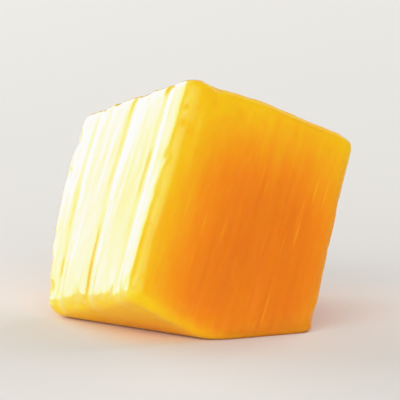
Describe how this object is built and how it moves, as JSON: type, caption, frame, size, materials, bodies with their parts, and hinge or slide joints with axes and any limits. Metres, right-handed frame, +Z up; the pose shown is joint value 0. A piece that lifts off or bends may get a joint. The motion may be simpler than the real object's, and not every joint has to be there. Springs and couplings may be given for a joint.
{
  "type": "mango piece",
  "caption": "Bite-size skewed block of peeled ripe mango flesh with soft knife-cut edges, resting on a level cut.",
  "frame": {"origin": "middle of the outline seen from above, on the level base", "axes": "+Z up from the level base; -Y faces the side shown to the camera, the peeled side is to the left (-X) and the stone side to the right (+X)"},
  "size_m": [0.03, 0.0316, 0.0251],
  "materials": {
    "mango_flesh": "wet and glossy, slightly translucent, orange in the middle and yellow at the edges"
  },
  "bodies": {
    "root": {"mango_piece": "mango_flesh"}
  },
  "joints": []
}
